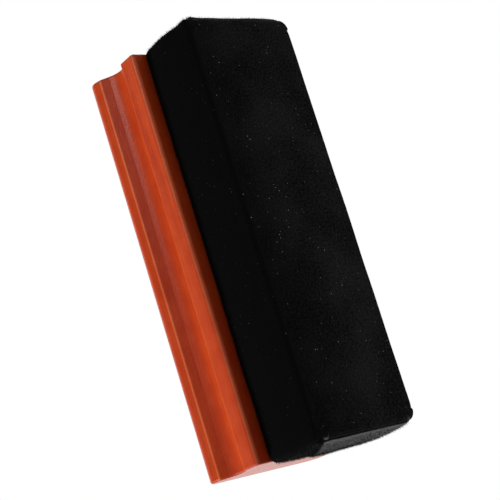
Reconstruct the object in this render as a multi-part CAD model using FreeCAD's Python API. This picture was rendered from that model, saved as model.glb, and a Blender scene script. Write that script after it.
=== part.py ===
"""Chalkboard eraser: a moulded, lacquered wooden handle over a plush-covered foam pad.

The eraser rests on its pad.  X runs along its length, Y across it and Z up from the wiping
face through the pad to the back of the handle.  The origin is the centre of the wiping face.
All sizes are in millimetres.
"""

import FreeCAD
import Part
import math
import os

# Handle: one solid moulding, routed with a finger cove along both long sides.
# Setbacks are measured inwards from the widest edge, at the seat, and heights from the seat.
HANDLE_LENGTH = 140.0
HANDLE_WIDTH = 51.8
HANDLE_HEIGHT = 27.7
FLANGE_THICKNESS = 7.7
FLANGE_EDGE_RADIUS = 1.5
ARRIS_SETBACK = 1.0
COVE_DEPTH = 4.6
COVE_EASE_RISE = 2.7
COVE_EASE_RUN = 2.1
NOSE_SETBACK = 0.9
NOSE_UNDERCUT = 0.4
NOSE_THICKNESS = 7.1
NOSE_CORNER_RADIUS = 1.0
BACK_EDGE_RADIUS = 4.4
END_ARRIS_RADIUS = 0.7
END_FACETS = 3

# Pad: plush cloth pulled round a foam block and turned over the back of a stiff board.
PAD_HEIGHT = 26.3
PAD_END_OVERHANG = 1.0
LEDGE_WIDTH = 5.1
PAD_SIDE_SWELL = 2.0
PAD_END_SWELL = 0.4
PAD_BELLY_HEIGHT = 11.0
PAD_CORNER_RADIUS = 4.5
NECK_CORNER_RADIUS = 2.0
PAD_EDGE_RADIUS = 2.6
PLUSH_THICKNESS = 1.4
BOARD_THICKNESS = 3.0
HEM_WIDTH = 8.0
HEM_OPENING_RADIUS = 1.5
GLUE_FILM = 0.6
GLUE_SETBACK = 1.2

# Staples that hold the turned-under hem to the board.
STAPLE_CROWN = 10.0
STAPLE_LEG = 3.6
STAPLE_WIRE = 0.5
STAPLE_MARGIN = 16.0
STAPLES_PER_SIDE = 4

# Offset mode that keeps the corners of an outline sharp.
SHARP_JOIN = 2

# Sizes and levels that follow from those above.
PAD_LENGTH = HANDLE_LENGTH + 2 * PAD_END_OVERHANG
NECK_LENGTH = PAD_LENGTH - 2 * PAD_END_SWELL
NECK_WIDTH = HANDLE_WIDTH - 2 * LEDGE_WIDTH
PAD_WIDTH = NECK_WIDTH + 2 * PAD_SIDE_SWELL
HEM_TOP = PAD_HEIGHT - GLUE_FILM
BOARD_TOP = HEM_TOP - PLUSH_THICKNESS
BOARD_BASE = BOARD_TOP - BOARD_THICKNESS
NOSE_FOOT = HANDLE_HEIGHT - NOSE_THICKNESS


def rounded_rectangle(length, width, radius, level):
    """Closed wire of a rectangle with round corners, centred on the Z axis."""
    x = length / 2
    y = width / 2
    cut = radius * (1 - 0.5 ** 0.5)
    corners = []
    for side_x, side_y in ((1, 1), (-1, 1), (-1, -1), (1, -1)):
        on_side = FreeCAD.Vector(side_x * (x - radius), side_y * y, level)
        middle = FreeCAD.Vector(side_x * (x - cut), side_y * (y - cut), level)
        on_end = FreeCAD.Vector(side_x * x, side_y * (y - radius), level)
        anticlockwise = side_x * side_y > 0
        corners.append((on_end, middle, on_side) if anticlockwise else (on_side, middle, on_end))
    edges = []
    for index, (start, middle, end) in enumerate(corners):
        following = corners[(index + 1) % len(corners)][0]
        edges.append(Part.Arc(start, middle, end).toShape())
        edges.append(Part.LineSegment(end, following).toShape())
    return Part.Wire(edges)


def slab(length, width, radius, base, top):
    """Flat plate with round corners between two levels."""
    face = Part.Face(rounded_rectangle(length, width, radius, base))
    return face.extrude(FreeCAD.Vector(0, 0, top - base))


def pad_form(inset, base):
    """Closed form of the stuffed pad, drawn in by an inset, from a base level up to the board.

    The pad is full near the wiping face and is pulled in to its neck at the board.
    """
    length = PAD_LENGTH - 2 * inset
    width = PAD_WIDTH - 2 * inset
    radius = PAD_CORNER_RADIUS - inset
    belly = slab(length, width, radius, base, PAD_BELLY_HEIGHT)
    full = rounded_rectangle(length, width, radius, PAD_BELLY_HEIGHT)
    neck = rounded_rectangle(
        NECK_LENGTH - 2 * inset, NECK_WIDTH - 2 * inset, NECK_CORNER_RADIUS - inset, BOARD_BASE)
    flank = Part.makeLoft([full, neck], True, True)
    form = belly.fuse(flank).removeSplitter()
    rim = [edge for edge in form.Edges if edge.BoundBox.ZMax < base + 0.01]
    return form.makeFillet(PAD_EDGE_RADIUS - inset, rim)


def neck_slab(inset, radius, base, top):
    """Straight-sided plate as wide and long as the pad's neck, drawn in by an inset."""
    return slab(NECK_LENGTH - 2 * inset, NECK_WIDTH - 2 * inset, radius, base, top)


def staple(x, y, along_x):
    """One staple driven down through the hem, its crown on the hem."""
    half = STAPLE_CROWN / 2
    crown = Part.makeBox(STAPLE_CROWN, STAPLE_WIRE, STAPLE_WIRE,
                         FreeCAD.Vector(-half, -STAPLE_WIRE / 2, HEM_TOP))
    pieces = [crown]
    for foot in (-half, half - STAPLE_WIRE):
        corner = FreeCAD.Vector(foot, -STAPLE_WIRE / 2, HEM_TOP - STAPLE_LEG)
        pieces.append(Part.makeBox(STAPLE_WIRE, STAPLE_WIRE, STAPLE_LEG, corner))
    wire = pieces[0].fuse(pieces[1:]).removeSplitter()
    if not along_x:
        wire.rotate(FreeCAD.Vector(), FreeCAD.Vector(0, 0, 1), 90)
    wire.translate(FreeCAD.Vector(x, y, 0))
    return wire


def make_staples():
    """Staples along each side of the hem, evenly spaced, and one across each end."""
    line_y = NECK_WIDTH / 2 - HEM_WIDTH / 2
    line_x = NECK_LENGTH / 2 - HEM_WIDTH / 2
    first_x = STAPLE_MARGIN - NECK_LENGTH / 2
    pitch = -2 * first_x / (STAPLES_PER_SIDE - 1)
    solids = []
    for side in (-1, 1):
        for index in range(STAPLES_PER_SIDE):
            solids.append(staple(first_x + index * pitch, side * line_y, True))
        solids.append(staple(side * line_x, 0, False))
    return Part.makeCompound(solids)


def board_blank():
    """Board before it is pierced, as large as the cloth round its edge leaves room for."""
    return neck_slab(
        PLUSH_THICKNESS, NECK_CORNER_RADIUS - PLUSH_THICKNESS, BOARD_BASE, BOARD_TOP)


def make_foam_core():
    """Sponge block that fills the cover up to the board."""
    return pad_form(PLUSH_THICKNESS, PLUSH_THICKNESS)


def make_plush_cover(staples):
    """Plush cloth as a skin: round the foam, up the edge of the board and over its back."""
    outside = pad_form(0, 0).fuse(neck_slab(0, NECK_CORNER_RADIUS, BOARD_BASE, HEM_TOP))
    opening = neck_slab(HEM_WIDTH, HEM_OPENING_RADIUS, BOARD_TOP, HEM_TOP)
    skin = outside.removeSplitter().cut([make_foam_core(), board_blank(), opening])
    return skin.cut(staples)


def make_backing_board(staples):
    """Hardboard stiffener, pierced by the legs of the staples."""
    return board_blank().cut(staples)


def make_glue_layer(staples):
    """Adhesive that fills the opening of the hem and films over it up to the handle."""
    plug = neck_slab(HEM_WIDTH, HEM_OPENING_RADIUS, BOARD_TOP, HEM_TOP)
    film = neck_slab(GLUE_SETBACK, NECK_CORNER_RADIUS, HEM_TOP, PAD_HEIGHT)
    return plug.fuse(film).removeSplitter().cut(staples)


def moulding_point(setback, height):
    """Point on the right-hand side of the moulding."""
    return FreeCAD.Vector(0, HANDLE_WIDTH / 2 - setback, PAD_HEIGHT + height)


def straight(start, end):
    """Straight edge between two points."""
    return Part.LineSegment(start, end).toShape()


def handle_side():
    """Edges of the right-hand side of the moulding, from its seat up to its back."""
    seat = FreeCAD.Vector(0, 0, PAD_HEIGHT)
    flange = moulding_point(0, 0)
    arris = moulding_point(ARRIS_SETBACK, FLANGE_THICKNESS)
    nose_foot = moulding_point(NOSE_SETBACK + NOSE_UNDERCUT, NOSE_FOOT)
    cove_top_height = NOSE_FOOT - COVE_EASE_RISE
    cove_top = moulding_point(NOSE_SETBACK + NOSE_UNDERCUT + COVE_EASE_RUN, cove_top_height)
    waist = moulding_point(COVE_DEPTH, (FLANGE_THICKNESS + cove_top_height) / 2)
    nose_top = moulding_point(NOSE_SETBACK, HANDLE_HEIGHT - BACK_EDGE_RADIUS)
    spread = BACK_EDGE_RADIUS * (1 - 0.5 ** 0.5)
    turn_middle = moulding_point(NOSE_SETBACK + spread, HANDLE_HEIGHT - spread)
    turn_end = moulding_point(NOSE_SETBACK + BACK_EDGE_RADIUS, HANDLE_HEIGHT)
    back = FreeCAD.Vector(0, 0, PAD_HEIGHT + HANDLE_HEIGHT)
    return [
        straight(seat, flange),
        straight(flange, arris),
        Part.Arc(arris, waist, cove_top).toShape(),
        straight(cove_top, nose_foot),
        straight(nose_foot, nose_top),
        Part.Arc(nose_top, turn_middle, turn_end).toShape(),
        straight(turn_end, back),
    ]


def long_edges_at(solid, corner):
    """Edges along X of a solid that pass through a corner of the moulding, on either side."""
    found = []
    for edge in solid.Edges:
        box = edge.BoundBox
        at_width = abs(abs(box.YMin) - corner.y) < 0.01
        at_height = abs(box.ZMin - corner.z) < 0.01
        if box.XLength > HANDLE_LENGTH / 2 and at_width and at_height:
            found.append(edge)
    return found


def moulding_outline():
    """Closed outline of the moulding in the YZ plane, the same on both sides, edges eased."""
    half = handle_side()
    mirrored = [edge.mirror(FreeCAD.Vector(), FreeCAD.Vector(0, 1, 0)) for edge in half]
    section = Part.Face(Part.Wire(Part.__sortEdges__(half + mirrored)))
    solid = section.extrude(FreeCAD.Vector(HANDLE_LENGTH, 0, 0)).removeSplitter()
    solid = solid.makeFillet(FLANGE_EDGE_RADIUS, long_edges_at(solid, moulding_point(0, 0)))
    nose_foot = moulding_point(NOSE_SETBACK + NOSE_UNDERCUT, NOSE_FOOT)
    solid = solid.makeFillet(NOSE_CORNER_RADIUS, long_edges_at(solid, nose_foot))
    ends = [face for face in solid.Faces if face.BoundBox.XMax < 0.01]
    return ends[0].OuterWire


def placed_at(wire, x):
    """Copy of a wire, moved along X."""
    copy = wire.copy()
    copy.translate(FreeCAD.Vector(x, 0, 0))
    return copy


def make_handle():
    """Moulded handle, its two ends rounded over by sanding in a few narrow facets."""
    outline = moulding_outline()
    sections = [(HANDLE_LENGTH / 2 - END_ARRIS_RADIUS, outline)]
    for step in range(1, END_FACETS + 1):
        turn = math.radians(90 * step / END_FACETS)
        inset = END_ARRIS_RADIUS * (1 - math.cos(turn))
        x = HANDLE_LENGTH / 2 - END_ARRIS_RADIUS * (1 - math.sin(turn))
        sections.append((x, outline.makeOffset2D(-inset, SHARP_JOIN)))
    rings = [placed_at(wire, -x) for x, wire in reversed(sections)]
    rings += [placed_at(wire, x) for x, wire in sections]
    return Part.makeLoft(rings, True, True)


def main():
    staples = make_staples()
    parts = {
        "handle": make_handle(),
        "glue_layer": make_glue_layer(staples),
        "backing_board": make_backing_board(staples),
        "foam_core": make_foam_core(),
        "plush_cover": make_plush_cover(staples),
        "hem_staples": staples,
    }
    os.makedirs("parts", exist_ok=True)
    for name, shape in parts.items():
        shape.exportStep(os.path.join("parts", name + ".step"))
        box = shape.BoundBox
        print(name, len(shape.Solids), shape.isValid(), round(shape.Volume, 1),
              round(box.XLength, 2), round(box.YLength, 2), round(box.ZMin, 2), round(box.ZMax, 2))


main()
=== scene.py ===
import math

import bmesh
import bpy
from mathutils import Matrix, Vector, noise


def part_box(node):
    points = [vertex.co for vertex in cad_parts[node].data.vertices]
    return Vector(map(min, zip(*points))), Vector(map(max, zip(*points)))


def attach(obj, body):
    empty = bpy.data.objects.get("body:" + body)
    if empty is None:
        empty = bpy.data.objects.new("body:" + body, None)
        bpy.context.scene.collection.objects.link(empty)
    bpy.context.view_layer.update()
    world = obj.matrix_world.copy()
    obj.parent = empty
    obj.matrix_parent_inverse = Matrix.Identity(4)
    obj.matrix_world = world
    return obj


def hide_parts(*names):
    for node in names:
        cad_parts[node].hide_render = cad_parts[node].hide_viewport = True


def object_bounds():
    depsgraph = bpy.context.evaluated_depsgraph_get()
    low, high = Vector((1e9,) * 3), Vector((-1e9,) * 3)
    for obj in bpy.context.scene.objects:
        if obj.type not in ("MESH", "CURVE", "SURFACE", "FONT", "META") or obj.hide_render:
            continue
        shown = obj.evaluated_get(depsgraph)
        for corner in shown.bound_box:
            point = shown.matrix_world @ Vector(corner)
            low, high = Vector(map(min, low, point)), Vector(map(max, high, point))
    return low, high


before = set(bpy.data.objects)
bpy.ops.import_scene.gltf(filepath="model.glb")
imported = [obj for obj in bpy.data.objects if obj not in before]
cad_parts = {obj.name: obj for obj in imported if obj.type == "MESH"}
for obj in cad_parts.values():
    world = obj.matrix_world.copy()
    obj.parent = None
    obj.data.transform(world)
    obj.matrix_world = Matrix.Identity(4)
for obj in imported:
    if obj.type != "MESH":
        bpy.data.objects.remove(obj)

cad_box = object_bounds()


# ---- Camera -------------------------------------------------------------------------------
# A long lens looks up at the eraser from below and to its left, rolled so that the eraser
# stands nearly upright in the picture, with its pad towards the viewer.

lowest, highest = (Vector(corner) for corner in cad_box)
middle = (lowest + highest) / 2

CAMERA_LENS = 117.1
CAMERA_DISTANCE = 0.5166
CAMERA_AZIMUTH = math.radians(16.31)
CAMERA_RISE = math.radians(44.79)
CAMERA_ROLL = math.radians(-119.1)
AIM_OFFSET = Vector((-0.0044, -0.0131, -0.0131))

forward = Vector((
    math.sin(CAMERA_AZIMUTH) * math.cos(CAMERA_RISE),
    math.cos(CAMERA_AZIMUTH) * math.cos(CAMERA_RISE),
    math.sin(CAMERA_RISE),
))
level_right = forward.cross(Vector((0, 0, 1))).normalized()
level_up = level_right.cross(forward)
right = math.cos(CAMERA_ROLL) * level_right + math.sin(CAMERA_ROLL) * level_up
up = right.cross(forward)
turn = Matrix((right, up, -forward)).transposed().to_4x4()

camera_data = bpy.data.cameras.new("camera")
camera_data.lens = CAMERA_LENS
camera_data.sensor_width = 36
camera_data.clip_start = 0.01
camera = bpy.data.objects.new("camera", camera_data)
camera.matrix_world = Matrix.Translation(middle + AIM_OFFSET - CAMERA_DISTANCE * forward) @ turn
bpy.context.collection.objects.link(camera)
bpy.context.scene.camera = camera


# ---- Floor and studio light ---------------------------------------------------------------
# The eraser stands on a pale floor that shows from above only, so it can also be seen from
# underneath against white. Big soft boxes stand all round it.


class Socket:
    """A shader socket that can be used in sums, so that an expression adds its own nodes."""

    def __init__(self, tree, link):
        self.tree = tree
        self.link = link

    def node(self, kind, values=(), output=0, **settings):
        """Add a node with the given settings, join values or links to its inputs by name."""
        made = self.tree.nodes.new(kind)
        stops = settings.pop("stops", None)
        for name, value in settings.items():
            setattr(made, name, value)
        if stops:
            ramp = made.color_ramp.elements
            while len(ramp) < len(stops):
                ramp.new(1.0)
            for element, (position, colour) in zip(ramp, stops):
                element.position = position
                element.color = (*colour, 1.0)
        for name, value in dict(values).items():
            if isinstance(value, Socket):
                self.tree.links.new(value.link, made.inputs[name])
            else:
                made.inputs[name].default_value = value
        return Socket(self.tree, made.outputs[output])

    def maths(self, operation, *terms):
        return self.node("ShaderNodeMath", list(enumerate(terms)), operation=operation)

    def __add__(self, other):
        return self.maths("ADD", self, other)

    def __sub__(self, other):
        return self.maths("SUBTRACT", self, other)

    def __mul__(self, other):
        return self.maths("MULTIPLY", self, other)

    def __truediv__(self, other):
        return self.maths("DIVIDE", self, other)

    def __radd__(self, other):
        return self.maths("ADD", other, self)

    def __rsub__(self, other):
        return self.maths("SUBTRACT", other, self)

    def __rmul__(self, other):
        return self.maths("MULTIPLY", other, self)

    def band(self, low, high):
        """0 below low, 1 above high, smooth between them."""
        values = {"Value": self, "From Min": low, "From Max": high}
        return self.node("ShaderNodeMapRange", values, interpolation_type="SMOOTHSTEP")

    def mix(self, first, second):
        """Colour that goes from first to second as this value goes from 0 to 1."""
        values = {"Factor": self, 6: first, 7: second}
        return self.node("ShaderNodeMix", values, output=2, data_type="RGBA")


def new_material(name):
    """Empty material with a Principled surface; gives the material, surface and a start."""
    material = bpy.data.materials.new(name)
    material.use_nodes = True
    tree = material.node_tree
    surface = tree.nodes["Principled BSDF"]
    place = tree.nodes.new("ShaderNodeTexCoord")
    return material, surface, Socket(tree, place.outputs["Object"])


FLOOR_SIZE = 6.0
FLOOR_LEVEL = -0.0003
FLOOR_COLOUR = (0.86, 0.86, 0.85, 1)
FLOOR_ROUGHNESS = 0.9

floor_mesh = bpy.data.meshes.new("floor")
half = FLOOR_SIZE / 2
floor_mesh.from_pydata(
    [(-half, -half, FLOOR_LEVEL), (half, -half, FLOOR_LEVEL), (half, half, FLOOR_LEVEL),
     (-half, half, FLOOR_LEVEL)], [], [(0, 1, 2, 3)])
floor = bpy.data.objects.new("floor", floor_mesh)
bpy.context.collection.objects.link(floor)
floor.visible_diffuse = False
floor.visible_glossy = False
floor.visible_shadow = False

floor_paint, floor_surface, start = new_material("floor_paint")
floor_surface.inputs["Base Color"].default_value = FLOOR_COLOUR
floor_surface.inputs["Roughness"].default_value = FLOOR_ROUGHNESS
from_below = start.node("ShaderNodeNewGeometry", output=6)
unseen = start.node("ShaderNodeBsdfTransparent")
painted = Socket(floor_paint.node_tree, floor_surface.outputs[0])
one_sided = start.node("ShaderNodeMixShader", {0: from_below, 1: painted, 2: unseen})
floor_out = floor_paint.node_tree.nodes["Material Output"]
floor_paint.node_tree.links.new(one_sided.link, floor_out.inputs["Surface"])
floor_mesh.materials.append(floor_paint)

# How bright each part of the surroundings glows, and where one part gives way to the next.
BACKDROP_GLOW = 1.0
SWEEP_GLOW = 1.3
ROOM_GLOW = 0.22
FRONT_GLOW = 0.05
LOW_GLOW = 0.55
SWEEP_REACH = (0.45, 0.95)
FRONT_REACH = (-0.7, 0.1)
LOW_REACH = (-0.95, -0.60)

world = bpy.data.worlds.new("studio")
world.use_nodes = True
bpy.context.scene.world = world
sky = world.node_tree.nodes["Background"]
sky.inputs["Color"].default_value = (1, 1, 1, 1)
facing = Socket(world.node_tree, None)
outlook = facing.node("ShaderNodeTexCoord")
towards_sweep = facing.node(
    "ShaderNodeVectorMath", {0: outlook, 1: tuple(forward)}, output=1, operation="DOT_PRODUCT")
from_front = facing.node("ShaderNodeSeparateXYZ", {0: outlook}, output=1)
from_low = facing.node("ShaderNodeSeparateXYZ", {0: outlook}, output=2)
room = FRONT_GLOW + from_front.band(*FRONT_REACH) * (ROOM_GLOW - FRONT_GLOW)
room = room + towards_sweep.band(*SWEEP_REACH) * (SWEEP_GLOW - ROOM_GLOW)
room = room + (1 - from_low.band(*LOW_REACH)) * (LOW_GLOW - ROOM_GLOW)
seen = facing.node("ShaderNodeLightPath")
glow = room + seen * (BACKDROP_GLOW - room)
world.node_tree.links.new(glow.link, sky.inputs["Strength"])
bpy.context.scene.view_settings.view_transform = "Standard"


SOFT_BOXES = {  # direction, distance, size and power
    "key_box": ((-0.60, -0.58, 0.55), 1.3, 0.5, 16),
    "shine_box": ((0.56, -0.95, -0.05), 1.3, 0.17, 4.2),
    "rear_box": ((0.5, 0.75, 0.5), 1.4, 0.8, 8),
}


def soft_box(name, direction, distance, size, power):
    """Square area light in a direction from the middle of the eraser, turned to face it."""
    lamp = bpy.data.lights.new(name, "AREA")
    lamp.size = size
    lamp.energy = power
    box = bpy.data.objects.new(name, lamp)
    box.location = middle + Vector(direction).normalized() * distance
    box.rotation_euler = (middle - box.location).to_track_quat("-Z", "Y").to_euler()
    bpy.context.collection.objects.link(box)


for name, box_values in SOFT_BOXES.items():
    soft_box(name, *box_values)


# ---- Handle -------------------------------------------------------------------------------
# One length of close-grained hardwood, moulded with a cove along each side, stained
# orange-red and lacquered. The pad is glued to its flat seat.

WOOD_LIGHT = (0.670, 0.074, 0.009)
WOOD_DARK = (0.480, 0.036, 0.004)
PORE_COLOUR = (0.300, 0.020, 0.003, 1)
# Pale colour of the painted highlight lines along the edges of the moulding.
PAINTED_HIGHLIGHT_COLOUR = (0.900, 0.190, 0.060, 1)
FIGURE_SCALE = (9, 120, 120)
FIBRE_SCALE = (90, 1500, 1500)
PORE_SCALE = (260, 2600, 2600)
CLOUD_SCALE = 160.0
PEEL_SCALE = 2600.0
PORE_SHARE = 0.45
GRAIN_DEPTH = 0.0002
LACQUER_ROUGHNESS = 0.30
# Painted highlight lines along three edges of the moulding, standing in for their shine.
PAINTED_HIGHLIGHT_EDGES = (  # inset from the widest point, rise from the seat, reach, share
    (0.0008, 0.0077, 0.00035, 0.65),
    (0.0011, 0.0206, 0.00070, 0.75),
    (0.0002, 0.0004, 0.00070, 0.75),
)

lacquered_wood, wood, place = new_material("lacquered_wood")
stretched = place.node("ShaderNodeMapping", {"Vector": place, "Scale": FIGURE_SCALE})
figure = place.node(
    "ShaderNodeTexNoise", {"Vector": stretched, "Scale": 1.0, "Detail": 5.0, "Distortion": 0.6})
fibre_space = place.node("ShaderNodeMapping", {"Vector": place, "Scale": FIBRE_SCALE})
fibre = place.node("ShaderNodeTexNoise", {"Vector": fibre_space, "Scale": 1.0, "Detail": 3.0})
cloud = place.node("ShaderNodeTexNoise", {"Vector": place, "Scale": CLOUD_SCALE, "Detail": 2.0})
tone = figure.band(0.30, 0.70) * 0.55 + fibre.band(0.3, 0.7) * 0.20 + cloud.band(0.3, 0.7) * 0.25
stain = place.node("ShaderNodeValToRGB", {"Fac": tone}, stops=[(0.0, WOOD_DARK), (1.0, WOOD_LIGHT)])
pore_space = place.node("ShaderNodeMapping", {"Vector": place, "Scale": PORE_SCALE})
pores = place.node("ShaderNodeTexNoise", {"Vector": pore_space, "Scale": 1.0, "Detail": 1.0})
pore = pores.band(0.66, 0.74) * PORE_SHARE
wood_colour = pore.mix(stain, PORE_COLOUR)

# Thin painted highlight lines run along the edges of each flange and under the overhang of the back.
handle_low, handle_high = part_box("handle")
across = place.node("ShaderNodeSeparateXYZ", {0: place}, output=1)
level = place.node("ShaderNodeSeparateXYZ", {0: place}, output=2)
for inset, rise, reach, share in PAINTED_HIGHLIGHT_EDGES:
    off_y = across.maths("ABSOLUTE", across) - (handle_high[1] - inset)
    off_z = level - (handle_low[2] + rise)
    off_edge = across.maths("SQRT", off_y * off_y + off_z * off_z)
    painted_highlight = (1 - off_edge.band(0.0, reach)) * (share - 0.3 + cloud * 0.6)
    wood_colour = painted_highlight.mix(wood_colour, PAINTED_HIGHLIGHT_COLOUR)
peel = place.node("ShaderNodeTexNoise", {"Vector": place, "Scale": PEEL_SCALE, "Detail": 1.0})
bump_height = fibre * 0.4 + peel * 0.6 - pore * 0.6
grain = place.node(
    "ShaderNodeBump", {"Height": bump_height, "Strength": 0.50, "Distance": GRAIN_DEPTH})
tree = lacquered_wood.node_tree
tree.links.new(wood_colour.link, wood.inputs["Base Color"])
tree.links.new((LACQUER_ROUGHNESS + cloud * 0.12).link, wood.inputs["Roughness"])
tree.links.new(grain.link, wood.inputs["Normal"])
wood.inputs["Specular IOR Level"].default_value = 0.40
wood.inputs["Coat Weight"].default_value = 0.10
wood.inputs["Coat Roughness"].default_value = 0.16
wood.inputs["Coat IOR"].default_value = 1.5

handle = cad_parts["handle"]
handle.data.materials.clear()
handle.data.materials.append(lacquered_wood)


# ---- Plush cover --------------------------------------------------------------------------
# One piece of short black plush, pulled over the foam and board and tucked in against the
# handle. Each end is wrapped like a parcel: the sides go in first, and a flap from the
# wiping face is folded up over them to a point.

RIDGE_RADIUS = 0.0026
CRISP_CORNER = 0.0018
SOFT_CORNERS = {(-1, 1): 0.0054, (1, 1): 0.0054}
END_DRAFT = {-1: 0.0009, 1: 0.0003}
DRAFT_HEIGHT = 0.014
BELLY_HEIGHT = 0.011
SIDE_SWELL = 0.0020
END_SWELL = 0.0002
TUCK = 0.0006
SIDE_GAP = 0.0003
EDGE_GAP = 0.0003
SEAT_GAP = 0.00002
CELLS_ALONG = 64
CELLS_ACROSS = 20
RIDGE_RINGS = 4
SIDE_RINGS = 11

cover_high = Vector(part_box("plush_cover")[1])
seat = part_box("handle")[0][2]
cover_top = seat - EDGE_GAP
belly_x = cover_high.x
belly_y = cover_high.y - SIDE_GAP


def smooth(low, high, value):
    """0 below low, 1 above high, smooth between them."""
    share = max(0.0, min(1.0, (value - low) / (high - low)))
    return share * share * (3 - 2 * share)


def drafted(x, height):
    """The ends lean in a little towards the wiping face."""
    draft = END_DRAFT[1 if x > 0 else -1] * (1 - smooth(0, DRAFT_HEIGHT, height))
    return x * (1 - draft / belly_x)


def rounded_place(along, across, half_x, half_y, softness, inset):
    """Place on a rectangle with round corners of the point at along, across in -1 to 1.

    Two corners are soft near the wiping face; all four are crisp where softness is 0.
    """
    x = along * half_x
    y = across * half_y
    soft = SOFT_CORNERS.get((1 if along > 0 else -1, 1 if across > 0 else -1), CRISP_CORNER)
    radius = max(CRISP_CORNER + (soft - CRISP_CORNER) * softness - inset, 0.0004)
    inner_x = max(radius - half_x, min(half_x - radius, x))
    inner_y = max(radius - half_y, min(half_y - radius, y))
    out_x = x - inner_x
    out_y = y - inner_y
    reach = math.hypot(out_x, out_y)
    if reach < 1e-9:
        return x, y
    share = max(abs(out_x), abs(out_y)) / reach
    return inner_x + out_x * share, inner_y + out_y * share


def ring_sections():
    """Half length, half width, softness, inset and height of each ring, from the face up."""
    for ring in range(RIDGE_RINGS):
        angle = math.pi / 2 * ring / RIDGE_RINGS
        inset = RIDGE_RADIUS * (1 - math.sin(angle))
        height = RIDGE_RADIUS * (1 - math.cos(angle))
        yield belly_x - inset, belly_y - inset, 1.0, inset, height
    for ring in range(SIDE_RINGS):
        height = RIDGE_RADIUS + (cover_top - RIDGE_RADIUS) * ring / (SIDE_RINGS - 1)
        rise = max(0.0, (height - BELLY_HEIGHT) / (cover_top - BELLY_HEIGHT))
        pull = 1 - math.sin(math.pi / 2 * (1 - rise))
        yield (belly_x - END_SWELL * pull, belly_y - SIDE_SWELL * pull,
               1 - ring / (SIDE_RINGS - 1), 0, height)
    yield belly_x - END_SWELL - TUCK, belly_y - SIDE_SWELL - TUCK, 0, 0, seat - SEAT_GAP


perimeter = [(column, 0) for column in range(CELLS_ALONG)]
perimeter += [(CELLS_ALONG, row) for row in range(CELLS_ACROSS)]
perimeter += [(column, CELLS_ACROSS) for column in range(CELLS_ALONG, 0, -1)]
perimeter += [(0, row) for row in range(CELLS_ACROSS, 0, -1)]

cover_bm = bmesh.new()
sections = list(ring_sections())
rings = []
for half_x, half_y, softness, inset, height in sections:
    ring = {}
    for column, row in perimeter:
        along = 2 * column / CELLS_ALONG - 1
        across = 2 * row / CELLS_ACROSS - 1
        x, y = rounded_place(along, across, half_x, half_y, softness, inset)
        ring[column, row] = cover_bm.verts.new((drafted(x, height), y, height))
    rings.append(ring)
for lower, upper in zip(rings, rings[1:]):
    for first, second in zip(perimeter, perimeter[1:] + perimeter[:1]):
        cover_bm.faces.new((lower[first], lower[second], upper[second], upper[first]))
for ring, section in ((rings[0], sections[0]), (rings[-1], sections[-1])):
    half_x, half_y, softness, inset, height = section
    sheet = dict(ring)
    for column in range(1, CELLS_ALONG):
        for row in range(1, CELLS_ACROSS):
            along = 2 * column / CELLS_ALONG - 1
            across = 2 * row / CELLS_ACROSS - 1
            x, y = rounded_place(along, across, half_x, half_y, softness, inset)
            sheet[column, row] = cover_bm.verts.new((drafted(x, height), y, height))
    for column in range(CELLS_ALONG):
        for row in range(CELLS_ACROSS):
            cover_bm.faces.new((
                sheet[column, row], sheet[column + 1, row],
                sheet[column + 1, row + 1], sheet[column, row + 1]))
bmesh.ops.recalc_face_normals(cover_bm, faces=cover_bm.faces)
cover_mesh = bpy.data.meshes.new("plush_skin")
cover_bm.to_mesh(cover_mesh)
cover_bm.free()
cover = bpy.data.objects.new("plush_skin", cover_mesh)
bpy.context.collection.objects.link(cover)

# The cloth is held where it is tucked in, and the foam pushes it out but never lets it in.
FOAM_PRESSURE = 4.0
HELD_DEPTH = 0.0005
MOST_SWELL = 0.0003
LAST_FRAME = 20

before = [vertex.co.copy() for vertex in cover_mesh.vertices]
outwards = [vertex.normal.copy() for vertex in cover_mesh.vertices]
held = cover.vertex_groups.new(name="held")
held_from = cover_top - HELD_DEPTH
held.add([v.index for v in cover_mesh.vertices if v.co.z > held_from], 1.0, "REPLACE")
cloth = cover.modifiers.new("cloth", "CLOTH")
cloth.settings.quality = 6
cloth.settings.mass = 0.2
cloth.settings.tension_stiffness = 25
cloth.settings.compression_stiffness = 25
cloth.settings.shear_stiffness = 12
cloth.settings.bending_stiffness = 2
cloth.settings.use_pressure = True
cloth.settings.uniform_pressure_force = FOAM_PRESSURE
cloth.settings.vertex_group_mass = "held"
cloth.settings.effector_weights.gravity = 0
cloth.point_cache.frame_start = 1
cloth.point_cache.frame_end = LAST_FRAME
for number in range(1, LAST_FRAME + 1):
    bpy.context.scene.frame_set(number)
swollen = cover.evaluated_get(bpy.context.evaluated_depsgraph_get()).to_mesh()
after = [vertex.co.copy() for vertex in swollen.vertices]
cover.modifiers.remove(cloth)
for vertex, start_at, end_at, outward in zip(cover_mesh.vertices, before, after, outwards):
    swell = max((end_at - start_at).dot(outward), 0.0)
    vertex.co = start_at + MOST_SWELL * math.tanh(swell / MOST_SWELL) * outward
    vertex.co.z = max(vertex.co.z, 0.0)
bpy.context.scene.frame_set(1)

rounding = cover.modifiers.new("rounding", "SUBSURF")
rounding.levels = 2
rounding.render_levels = 2
view = bpy.context.evaluated_depsgraph_get()
fine_mesh = bpy.data.meshes.new_from_object(cover.evaluated_get(view))
cover.modifiers.remove(rounding)
cover.data = fine_mesh

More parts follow.
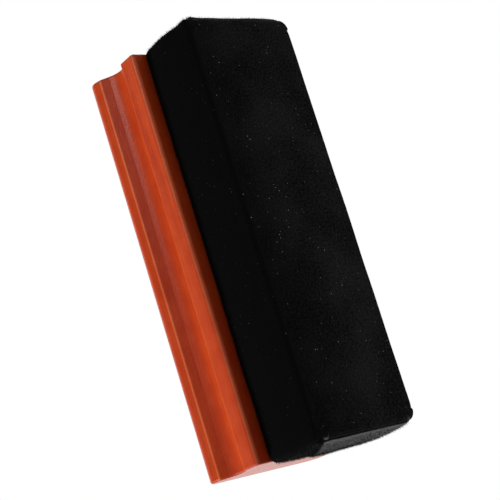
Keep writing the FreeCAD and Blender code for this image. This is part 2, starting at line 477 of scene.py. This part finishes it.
# Folds, puckers and small dents of the cloth, each as a height along the surface.
END_CROWN = {-1: 0.0006, 1: 0.0}
FLAP_LIFT = 0.0004
FLAP_FOOT = 0.0212
FLAP_TIP = 0.0330
FLAP_EDGE = 0.0008
CREASE_DEPTH = 0.0003
EAR_LIFT = 0.0007
EAR_SIZE = 0.0035
EAR_LEVEL = 0.002
SWAY = 0.0007
SWAY_SCALE = Vector((30, 120, 120))
DENT_HEIGHT = 0.00030
DENT_SCALE = 70
PUCKER_HEIGHT = 0.00018
PUCKER_SCALE = 240
CLUMP_HEIGHT = 0.00005
CLUMP_SCALE = 900
SHAPED_BELOW = 0.0003
FOAM_CORNER = 0.0031
LEAST_COVER = 0.0003
CLEAR_FROM = -0.002
CLEAR_FULLY = 0.0006

foam_low, foam_high = (Vector(corner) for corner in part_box("foam_core"))
flap_slope = math.cos(math.atan2(FLAP_FOOT, FLAP_TIP))


def cloth_height(point, normal):
    """How far the cloth stands off its plain form at a point."""
    lift = DENT_HEIGHT * noise.noise(point * DENT_SCALE)
    lift += CLUMP_HEIGHT * noise.noise(point * CLUMP_SCALE)
    near_tuck = smooth(0.5, 1.0, point.z / cover_top)
    pucker_place = Vector((point.x * PUCKER_SCALE, point.y * PUCKER_SCALE, 3))
    lift += PUCKER_HEIGHT * near_tuck * noise.noise(pucker_place)
    facing_end = smooth(0.55, 0.9, abs(normal.x))
    if facing_end > 0:
        sway = SWAY * noise.noise((point * SWAY_SCALE).yzx)
        inside = FLAP_FOOT * (1 - point.z / FLAP_TIP) - abs(point.y) + sway
        inside *= flap_slope
        flap = FLAP_LIFT * smooth(-FLAP_EDGE / 2, FLAP_EDGE / 2, inside)
        crease = CREASE_DEPTH * math.exp(-((inside + FLAP_EDGE) / (0.8 * FLAP_EDGE)) ** 2)
        crown = END_CROWN[1 if normal.x > 0 else -1] * (1 - (point.y / belly_y) ** 4)
        crown *= math.sin(math.pi * min(1.0, point.z / cover_top)) ** 0.5
        lift += facing_end * (flap - crease + crown)
    for side in (-1, 1):
        ear = Vector((side * belly_x, -belly_y, EAR_LEVEL))
        lift += EAR_LIFT * math.exp(-((point - ear).length / EAR_SIZE) ** 2)
    return lift


def clear_of_foam(point):
    """The point, moved out round an upright corner of the foam where it would cut into it."""
    corner_x = foam_high.x - FOAM_CORNER
    corner_y = foam_high.y - FOAM_CORNER
    out = Vector((max(abs(point.x) - corner_x, 0.0), max(abs(point.y) - corner_y, 0.0)))
    least = (FOAM_CORNER + LEAST_COVER) * smooth(CLEAR_FROM, foam_low.z - CLEAR_FULLY, point.z)
    if not (out.x and out.y) or point.z > foam_high.z or out.length >= least:
        return point
    out *= least / out.length
    return Vector((math.copysign(corner_x + out.x, point.x),
                   math.copysign(corner_y + out.y, point.y), point.z))


normals = [vertex.normal.copy() for vertex in fine_mesh.vertices]
for vertex, normal in zip(fine_mesh.vertices, normals):
    if vertex.co.z < cover_top - SHAPED_BELOW:
        lift = cloth_height(vertex.co, normal)
        if normal.z < -0.5:
            lift = min(lift, vertex.co.z) * 0.5
        vertex.co += lift * normal
        vertex.co = clear_of_foam(vertex.co)
        vertex.co.z = max(vertex.co.z, 0.0)
fine_mesh.shade_smooth()

# The velvet's base colours are painted by facing: painted shade darkest on the long sides, a little
# lighter on the ridge, lighter again on the wiping face, and a much lighter painted sheen on the ends.
SIDE_PAINTED_SHADE = (0.0028, 0.0028, 0.0030, 1)
FACE_PAINTED_DARK = (0.0040, 0.0040, 0.0042, 1)
FACE_PAINTED_LIGHT = (0.0380, 0.0380, 0.0400, 1)
RIDGE_PAINTED_SHADE = (0.0090, 0.0090, 0.0095, 1)
END_PAINTED_SHEEN = (0.2400, 0.2430, 0.2500, 1)
LINT_COLOUR = (0.80, 0.79, 0.76, 1)
LINT_CELL = 900.0
LINT_SHARE = 0.22
CLUMP_GRAIN = 1300.0
DRIFT_GRAIN = 45.0
ROW_GRAIN = (1, 350, 2600)
# The wiping face is painted darker towards -Y as shade.
FACE_SHADE_FADE = (-0.026, 0.010)
# Height over which the painted sheen of the ends fades, the blend at the fold line, and how much less
# painted sheen the far end gets.
END_SHEEN_FADE = (0.014, 0.026)
FOLD_BLEND = 0.0015
FAR_END_LESS_SHEEN = 0.65


def black_nap(name):
    """Black velvet, painted darkest as shade on the long sides and painted with a light sheen on the
    ends, with some lint.
    """
    material, nap, place = new_material(name)
    clumps = place.node("ShaderNodeTexNoise", {"Vector": place, "Scale": CLUMP_GRAIN, "Detail": 4.0})
    drift = place.node("ShaderNodeTexNoise", {"Vector": place, "Scale": DRIFT_GRAIN, "Detail": 3.0})
    facing = place.node("ShaderNodeTexCoord", output=1)
    long_way = place.node("ShaderNodeSeparateXYZ", {0: facing})
    cross_way = place.node("ShaderNodeSeparateXYZ", {0: facing}, output=1)
    on_end = long_way.maths("ABSOLUTE", long_way).band(0.42, 0.92)
    lean = cross_way.maths("ABSOLUTE", cross_way)
    on_side = lean.band(0.50, 0.95)
    on_ridge = lean.band(0.10, 0.60) * (1 - lean.band(0.75, 0.98))
    across = place.node("ShaderNodeSeparateXYZ", {0: place}, output=1)
    # The wiping face keeps a random mottle, painted lighter than the sides and darker towards the -Y
    # edge as shade.
    tone = 0.05 + clumps.band(0.35, 0.65) * 0.50 + drift.band(0.35, 0.70) * 0.40
    tone = tone * (0.35 + 0.65 * across.band(*FACE_SHADE_FADE))
    face_painted_tone = tone.mix(FACE_PAINTED_DARK, FACE_PAINTED_LIGHT)
    row_space = place.node("ShaderNodeMapping", {"Vector": place, "Scale": ROW_GRAIN})
    rows = place.node("ShaderNodeTexNoise", {"Vector": row_space, "Scale": 1.0, "Detail": 2.0})
    level = place.node("ShaderNodeSeparateXYZ", {0: place}, output=2)
    # The ends are painted with a light sheen in rows, fading out up the end and weaker at the far end;
    # the -Y gore of each end is painted dark like the sides.
    past_fold = (across + FLAP_FOOT - level * (FLAP_FOOT / FLAP_TIP)).band(0.0, FOLD_BLEND)
    painted_end_sheen = (rows.band(0.25, 0.75) * 0.5 + 0.5) * (1 - level.band(*END_SHEEN_FADE)) * past_fold
    painted_end_sheen = painted_end_sheen * (1 - FAR_END_LESS_SHEEN * long_way.band(0.0, 0.3))
    # Painted shade on the long sides and the ridge, over the mottled face.
    colour = on_side.mix(on_ridge.mix(face_painted_tone, RIDGE_PAINTED_SHADE), SIDE_PAINTED_SHADE)
    colour = (on_end * (1 - past_fold)).mix(colour, SIDE_PAINTED_SHADE)
    colour = (on_end * painted_end_sheen).mix(colour, END_PAINTED_SHEEN)
    specks = place.node("ShaderNodeTexVoronoi", {"Vector": place, "Scale": LINT_CELL})
    chance = place.node("ShaderNodeTexVoronoi", {"Vector": place, "Scale": LINT_CELL}, output=1)
    pick = place.node("ShaderNodeSeparateColor", {0: chance})
    thick = drift.band(0.30, 0.70) * 0.6 + 0.4
    lint = (1 - specks.band(0.06, 0.16)) * pick.band(1 - LINT_SHARE, 1.0) * thick
    colour = (lint * (1 - 0.9 * on_side)).mix(colour, LINT_COLOUR)
    relief = place.node(
        "ShaderNodeBump", {"Height": clumps, "Strength": 0.6, "Distance": 0.0003})
    tree = material.node_tree
    tree.links.new(colour.link, nap.inputs["Base Color"])
    tree.links.new(relief.link, nap.inputs["Normal"])
    nap.inputs["Roughness"].default_value = 0.95
    nap.inputs["Specular IOR Level"].default_value = 0.02
    nap.inputs["Sheen Weight"].default_value = 0.015
    nap.inputs["Sheen Roughness"].default_value = 0.30
    nap.inputs["Sheen Tint"].default_value = (0.85, 0.87, 0.92, 1)
    return material


black_plush = black_nap("black_plush")
fine_mesh.materials.clear()
fine_mesh.materials.append(black_plush)
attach(cover, "root")
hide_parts("plush_cover")


# ---- Pile of the plush --------------------------------------------------------------------
# The loose ends of the cloth's own pile, short black fibres that lean all ways and blur the
# outline of the pad's two ends. On the long sides and the wiping face the pile lies flat.

PILE_DENSITY = 6.0e6
PILE_LENGTH = 0.0011
PILE_WIDTH = 0.00005
PILE_LEAN = math.radians(50)
LOWEST_FACING = -0.30
MOST_SIDEWAYS = 0.60
TUCK_MARGIN = 0.0006
FLOOR_MARGIN = 0.0001

loose_pile, fibre_surface, place = new_material("loose_pile")
# Fibres vary at random from black to dark grey; the grey fibres are also painted sheen for the pile on
# the ends.
shade = place.node("ShaderNodeTexNoise", {"Vector": place, "Scale": 900.0, "Detail": 2.0})
fibre_tone_and_sheen = shade.band(0.3, 0.7).mix((0.004, 0.004, 0.004, 1), (0.090, 0.090, 0.094, 1))
loose_pile.node_tree.links.new(fibre_tone_and_sheen.link, fibre_surface.inputs["Base Color"])
fibre_surface.inputs["Roughness"].default_value = 0.9
fibre_surface.inputs["Specular IOR Level"].default_value = 0.1

pile_tree = bpy.data.node_groups.new("pile", "GeometryNodeTree")
sockets = pile_tree.interface
sockets.new_socket("Geometry", in_out="INPUT", socket_type="NodeSocketGeometry")
sockets.new_socket("Geometry", in_out="OUTPUT", socket_type="NodeSocketGeometry")
sizes = {}
for name, kind, value in (
        ("Density", "NodeSocketFloat", PILE_DENSITY), ("Length", "NodeSocketFloat", PILE_LENGTH),
        ("Width", "NodeSocketFloat", PILE_WIDTH), ("Lean", "NodeSocketFloat", PILE_LEAN),
        ("Seed", "NodeSocketInt", 7)):
    socket = sockets.new_socket(name, in_out="INPUT", socket_type=kind)
    sizes[socket.identifier] = value

entry = pile_tree.nodes.new("NodeGroupInput")
exit_node = pile_tree.nodes.new("NodeGroupOutput")
given = {socket.name: Socket(pile_tree, socket) for socket in entry.outputs if socket.name}
start = given["Geometry"]
normal = start.node("GeometryNodeInputNormal")
up_part = start.node("ShaderNodeSeparateXYZ", {0: normal}, output=2)
position = start.node("GeometryNodeInputPosition")
height = start.node("ShaderNodeSeparateXYZ", {0: position}, output=2)
off_face = up_part.node("FunctionNodeCompare", {0: up_part, 1: LOWEST_FACING}, operation="GREATER_THAN")
side_part = up_part.node("ShaderNodeSeparateXYZ", {0: normal}, output=1)
off_side = up_part.node("FunctionNodeCompare", {
    0: side_part.maths("ABSOLUTE", side_part), 1: MOST_SIDEWAYS}, operation="LESS_THAN")
below_seat = up_part.node(
    "FunctionNodeCompare", {0: height, 1: cover_top - TUCK_MARGIN}, operation="LESS_THAN")
off_floor = up_part.node(
    "FunctionNodeCompare", {0: height, 1: PILE_LENGTH + FLOOR_MARGIN}, operation="GREATER_THAN")
grown = off_face.node("FunctionNodeBooleanMath", {0: off_face, 1: below_seat}, operation="AND")
grown = grown.node("FunctionNodeBooleanMath", {0: grown, 1: off_floor}, operation="AND")
grown = grown.node("FunctionNodeBooleanMath", {0: grown, 1: off_side}, operation="AND")
scatter = pile_tree.nodes.new("GeometryNodeDistributePointsOnFaces")
for name, value in (("Mesh", start), ("Selection", grown), ("Density", given["Density"]),
                    ("Seed", given["Seed"])):
    pile_tree.links.new(value.link, scatter.inputs[name])
roots = Socket(pile_tree, scatter.outputs["Points"])
upright = Socket(pile_tree, scatter.outputs["Rotation"])
fibre_end = start.node(
    "GeometryNodeMeshCone",
    {"Vertices": 3, "Radius Top": 0.0, "Radius Bottom": given["Width"], "Depth": given["Length"]},
    fill_type="NONE")
lean_low = start.node("ShaderNodeCombineXYZ", {0: given["Lean"] * -1, 1: given["Lean"] * -1})
lean_high = start.node("ShaderNodeCombineXYZ", {0: given["Lean"], 1: given["Lean"]})
lean = start.node("FunctionNodeRandomValue", {0: lean_low, 1: lean_high}, data_type="FLOAT_VECTOR")
leaning = start.node("FunctionNodeRotateRotation", {
    "Rotation": upright, "Rotate By": start.node("FunctionNodeEulerToRotation", {0: lean})},
    rotation_space="LOCAL")
spread = start.node("FunctionNodeRandomValue", {2: 0.4, 3: 1.0}, output=1)
fibres = start.node("GeometryNodeInstanceOnPoints", {
    "Points": roots, "Instance": fibre_end, "Rotation": leaning, "Scale": spread})
real = start.node("GeometryNodeRealizeInstances", {0: fibres})
finished = start.node("GeometryNodeSetMaterial", {"Geometry": real, "Material": loose_pile})
pile_tree.links.new(finished.link, exit_node.inputs[0])

pile_source = bpy.data.objects.new("pile_source", cover.data.copy())
bpy.context.collection.objects.link(pile_source)
growing = pile_source.modifiers.new("pile", "NODES")
growing.node_group = pile_tree
for identifier, value in sizes.items():
    growing[identifier] = value
view = bpy.context.evaluated_depsgraph_get()
pile_mesh = bpy.data.meshes.new_from_object(pile_source.evaluated_get(view))
bpy.data.objects.remove(pile_source)
pile = bpy.data.objects.new("plush_pile", pile_mesh)
bpy.context.collection.objects.link(pile)
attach(pile, "root")


# ---- Foam core, board, glue and staples ---------------------------------------------------
# The inside of the pad: a yellowish sponge block, a raw hardboard stiffener, the amber film
# of set glue under the handle and the zinc-coated staples through the hem.


def plain_material(name, dark, light, scale, roughness, bump):
    """Material with a fine mottle between two colours."""
    material, surface, place = new_material(name)
    mottle = place.node("ShaderNodeTexNoise", {"Vector": place, "Scale": scale, "Detail": 4.0})
    relief = place.node(
        "ShaderNodeBump", {"Height": mottle, "Strength": bump, "Distance": 0.0003})
    colour = mottle.band(0.35, 0.65).mix((*dark, 1), (*light, 1))
    links = material.node_tree.links
    links.new(colour.link, surface.inputs["Base Color"])
    links.new((roughness + mottle * 0.1).link, surface.inputs["Roughness"])
    links.new(relief.link, surface.inputs["Normal"])
    return material, surface


sponge, _ = plain_material("sponge", (0.55, 0.50, 0.36), (0.80, 0.76, 0.62), 1500, 0.85, 0.8)
hardboard, _ = plain_material("hardboard", (0.14, 0.08, 0.04), (0.26, 0.16, 0.09), 700, 0.75, 0.4)
set_glue, _ = plain_material("set_glue", (0.55, 0.46, 0.26), (0.72, 0.64, 0.42), 200, 0.30, 0.3)
staple_wire, wire = plain_material(
    "staple_wire", (0.50, 0.50, 0.50), (0.68, 0.68, 0.66), 1800, 0.30, 0.1)
wire.inputs["Metallic"].default_value = 1.0
inside = {
    "foam_core": sponge,
    "backing_board": hardboard,
    "glue_layer": set_glue,
    "hem_staples": staple_wire,
}
for node, material in inside.items():
    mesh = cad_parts[node].data
    mesh.materials.clear()
    mesh.materials.append(material)
